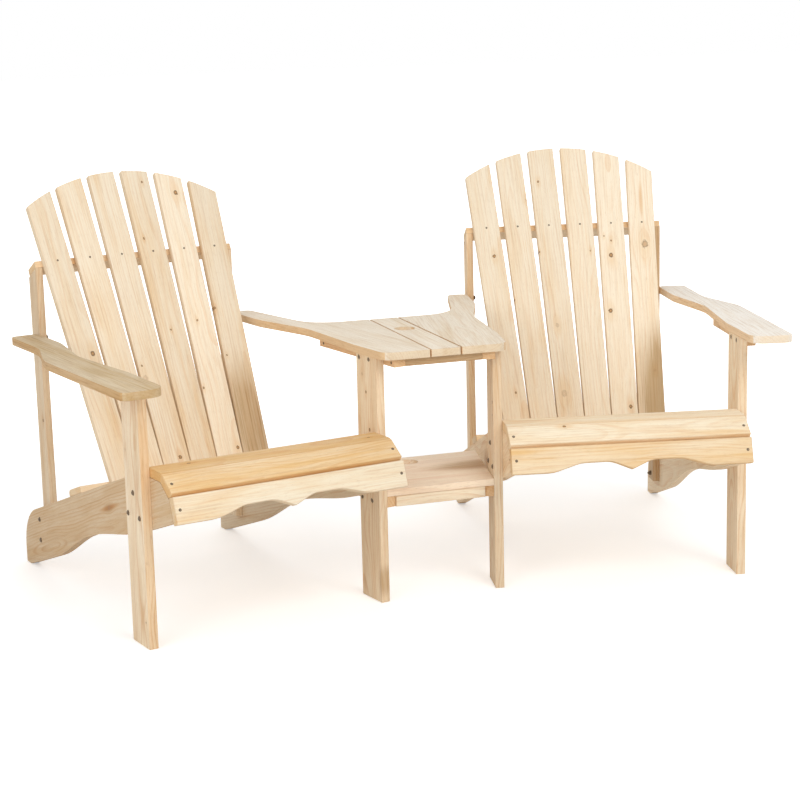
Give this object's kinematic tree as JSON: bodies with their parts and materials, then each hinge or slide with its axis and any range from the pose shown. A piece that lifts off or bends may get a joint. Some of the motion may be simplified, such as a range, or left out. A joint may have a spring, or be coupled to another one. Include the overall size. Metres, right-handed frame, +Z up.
{
  "type": "adirondack loveseat",
  "caption": "Slatted wooden garden loveseat: low fan-backed chairs turned towards a shared table with an umbrella hole and a shelf below.",
  "frame": {"origin": "on the floor, in the middle of the footprint", "axes": "+X across the loveseat to the sitter's left, seen from the front to the right; +Y to the back; +Z up"},
  "size_m": [1.6982, 0.9998, 0.92],
  "materials": {
    "slat_wood": "oiled, pale cream softwood with fine grain and knots",
    "seat_wood": "oiled, golden softwood",
    "arm_wood": "oiled, beige softwood",
    "frame_wood": "oiled, tan softwood",
    "rail_wood": "oiled, brown softwood",
    "shelf_wood": "oiled, orange-brown softwood",
    "dark_steel": "dark coated fasteners"
  },
  "bodies": {
    "root": {"left_outer_stringer": "frame_wood", "left_outer_leg": "frame_wood", "left_outer_post": "frame_wood", "left_inner_stringer": "frame_wood", "left_inner_leg": "frame_wood", "left_inner_post": "frame_wood", "left_upper_back_rail": "rail_wood", "left_lower_back_rail": "rail_wood", "left_back_slat_1": "slat_wood", "left_back_slat_2": "slat_wood", "left_back_slat_3": "slat_wood", "left_back_slat_4": "slat_wood", "left_back_slat_5": "slat_wood", "left_back_slat_6": "slat_wood", "left_seat_slat_1": "seat_wood", "left_seat_slat_2": "seat_wood", "left_seat_slat_3": "seat_wood", "left_seat_slat_4": "seat_wood", "left_outer_seat_batten": "rail_wood", "left_inner_seat_batten": "rail_wood", "left_nose_slat": "seat_wood", "left_apron": "seat_wood", "left_outer_arm": "arm_wood", "left_table_wing": "arm_wood", "left_arm_cleat": "rail_wood", "left_table_cleat": "rail_wood", "left_shelf_cleat": "rail_wood", "right_outer_stringer": "frame_wood", "right_outer_leg": "frame_wood", "right_outer_post": "frame_wood", "right_inner_stringer": "frame_wood", "right_inner_leg": "frame_wood", "right_inner_post": "frame_wood", "right_upper_back_rail": "rail_wood", "right_lower_back_rail": "rail_wood", "right_back_slat_1": "slat_wood", "right_back_slat_2": "slat_wood", "right_back_slat_3": "slat_wood", "right_back_slat_4": "slat_wood", "right_back_slat_5": "slat_wood", "right_back_slat_6": "slat_wood", "right_seat_slat_1": "seat_wood", "right_seat_slat_2": "seat_wood", "right_seat_slat_3": "seat_wood", "right_seat_slat_4": "seat_wood", "right_outer_seat_batten": "rail_wood", "right_inner_seat_batten": "rail_wood", "right_nose_slat": "seat_wood", "right_apron": "seat_wood", "right_outer_arm": "arm_wood", "right_table_wing": "arm_wood", "right_arm_cleat": "rail_wood", "right_table_cleat": "rail_wood", "right_shelf_cleat": "rail_wood", "table_centre_board": "arm_wood", "table_front_rail": "rail_wood", "table_rear_rail": "rail_wood", "shelf_panel": "shelf_wood", "shelf_front_rail": "rail_wood"}
  },
  "joints": []
}
